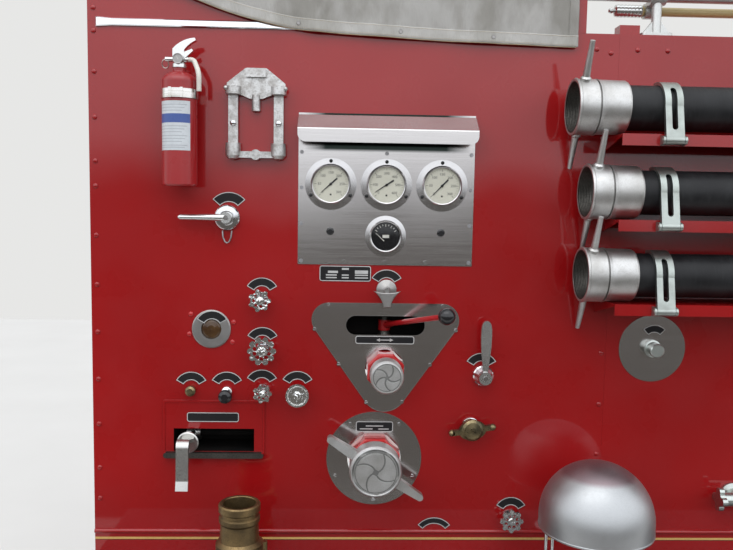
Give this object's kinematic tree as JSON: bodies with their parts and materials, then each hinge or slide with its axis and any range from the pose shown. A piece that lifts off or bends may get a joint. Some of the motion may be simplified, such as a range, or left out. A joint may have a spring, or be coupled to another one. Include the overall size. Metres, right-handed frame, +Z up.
{
  "type": "fire engine pump panel with hose bay",
  "caption": "Side section of a fire engine: red pump operator's panel with gauges, capped inlet and outlet, levers, valve wheels, and a bay carrying suction hoses on shelves.",
  "frame": {"origin": "centre of the pump frame's four bolts, on the back of the mounting feet", "axes": "+X along the vehicle towards its tail, +Y into the vehicle, +Z up; the painted side faces -Y"},
  "size_m": [2.7623, 0.58, 1.6513],
  "materials": {
    "red_paint": "gloss",
    "frame_paint": "satin",
    "canvas": "matte",
    "chrome": "polished",
    "tread_plate": "satin",
    "stainless": "brushed",
    "gauge_metal": "polished",
    "dial_face": "matte",
    "gauge_glass": "clear",
    "label_black": "satin",
    "red_casting": "gloss",
    "cast_aluminium": "cast",
    "red_lever": "gloss",
    "black_plastic": "gloss",
    "steel_inside": "machined",
    "dark_box": "matte",
    "shift_metal": "satin",
    "lamp_metal": "satin",
    "amber_glass": "clear",
    "brass": "aged",
    "bottle_red": "gloss",
    "bracket_steel": "bright",
    "hose_cream": "satin",
    "bell_metal": "polished",
    "hose_rubber": "matte",
    "clamp_metal": "cast",
    "pole_wood": "varnished"
  },
  "bodies": {
    "side": {"pump_panel": "red_paint", "bay_panel": "red_paint", "body_frame": "frame_paint", "board_brackets": "frame_paint", "cowl": "red_paint", "canvas_cover": "canvas", "trim_strip": "chrome", "sill_bead": "red_paint", "running_board": "tread_plate", "gauge_plate": "stainless", "gauge_visor": "stainless", "gauge_cases": "gauge_metal", "gauge_dials": "dial_face", "gauge_glasses": "gauge_glass", "label_plates": "label_black", "discharge_plate": "stainless", "outlet_body": "red_casting", "round_plates": "stainless", "inlet_body": "red_casting", "valve_stem": "steel_inside", "slot_shroud": "dark_box", "shift_plate": "red_paint", "shift_box": "dark_box", "valve_wheels": "chrome", "control_seats": "chrome", "black_knobs": "black_plastic", "lamp_ring": "lamp_metal", "lamp_lens": "amber_glass", "pull_handle": "chrome", "brass_fittings": "brass", "extinguisher_bottle": "bottle_red", "extinguisher_valve": "chrome", "extinguisher_bracket": "bracket_steel", "extinguisher_hose": "hose_cream", "spanner_rack": "cast_aluminium", "bell": "bell_metal", "bell_stand": "chrome", "hose_adapter": "brass", "suction_hoses": "hose_rubber", "front_couplings": "cast_aluminium", "rear_couplings": "cast_aluminium", "hose_shelves": "red_paint", "clamp_hinges": "clamp_metal", "side_valves": "chrome", "top_rail": "chrome", "pole": "pole_wood", "rail_block": "red_paint"},
    "discharge_lever": {"discharge_lever": "red_lever", "lever_ball": "black_plastic"},
    "outlet_cap": {"outlet_cap": "cast_aluminium"},
    "inlet_cap": {"inlet_cap": "cast_aluminium"},
    "shift_handle": {"shift_handle": "shift_metal"},
    "throttle_lever": {"throttle_lever": "chrome"},
    "cock_lever": {"cock_lever": "chrome"},
    "upper_clamp_front": {"upper_clamp_front": "clamp_metal"},
    "upper_clamp_rear": {"upper_clamp_rear": "clamp_metal"},
    "middle_clamp_front": {"middle_clamp_front": "clamp_metal"},
    "middle_clamp_rear": {"middle_clamp_rear": "clamp_metal"},
    "lower_clamp_front": {"lower_clamp_front": "clamp_metal"},
    "lower_clamp_rear": {"lower_clamp_rear": "clamp_metal"}
  },
  "joints": [
    {"name": "discharge_lever_swing", "type": "hinge", "parent": "side", "child": "discharge_lever", "pos_m": [0.087, 0, -0.122], "axis": [0, 0, -1], "range_deg": [0, 80]},
    {"name": "outlet_cap_turn", "type": "hinge", "parent": "side", "child": "outlet_cap", "pos_m": [0.087, -0.15, -0.229], "axis": [0, -1, 0], "continuous": true},
    {"name": "inlet_cap_turn", "type": "hinge", "parent": "side", "child": "inlet_cap", "pos_m": [0.063, -0.15, -0.471], "axis": [0, -1, 0], "continuous": true},
    {"name": "shift_handle_slide", "type": "slide", "parent": "side", "child": "shift_handle", "axis": [1, 0, 0], "range_m": [0, 0.128]},
    {"name": "throttle_lever_turn", "type": "hinge", "parent": "side", "child": "throttle_lever", "pos_m": [0.347, -0.094, -0.245], "axis": [0, 1, 0], "range_deg": [0, 90]},
    {"name": "cock_lever_turn", "type": "hinge", "parent": "side", "child": "cock_lever", "pos_m": [-0.324, -0.085, 0.16], "axis": [0, -1, 0], "range_deg": [0, 90]},
    {"name": "upper_clamp_front_hinge", "type": "hinge", "parent": "side", "child": "upper_clamp_front", "pos_m": [0.7573, -0.222, 0.3635], "axis": [1, 0, 0], "range_deg": [0, 120]},
    {"name": "upper_clamp_rear_hinge", "type": "hinge", "parent": "side", "child": "upper_clamp_rear", "pos_m": [1.7903, -0.222, 0.3635], "axis": [1, 0, 0], "range_deg": [0, 120]},
    {"name": "middle_clamp_front_hinge", "type": "hinge", "parent": "side", "child": "middle_clamp_front", "pos_m": [0.7573, -0.222, 0.1575], "axis": [1, 0, 0], "range_deg": [0, 120]},
    {"name": "middle_clamp_rear_hinge", "type": "hinge", "parent": "side", "child": "middle_clamp_rear", "pos_m": [1.7903, -0.222, 0.1575], "axis": [1, 0, 0], "range_deg": [0, 120]},
    {"name": "lower_clamp_front_hinge", "type": "hinge", "parent": "side", "child": "lower_clamp_front", "pos_m": [0.7573, -0.222, -0.0485], "axis": [1, 0, 0], "range_deg": [0, 120]},
    {"name": "lower_clamp_rear_hinge", "type": "hinge", "parent": "side", "child": "lower_clamp_rear", "pos_m": [1.7903, -0.222, -0.0485], "axis": [1, 0, 0], "range_deg": [0, 120]}
  ]
}
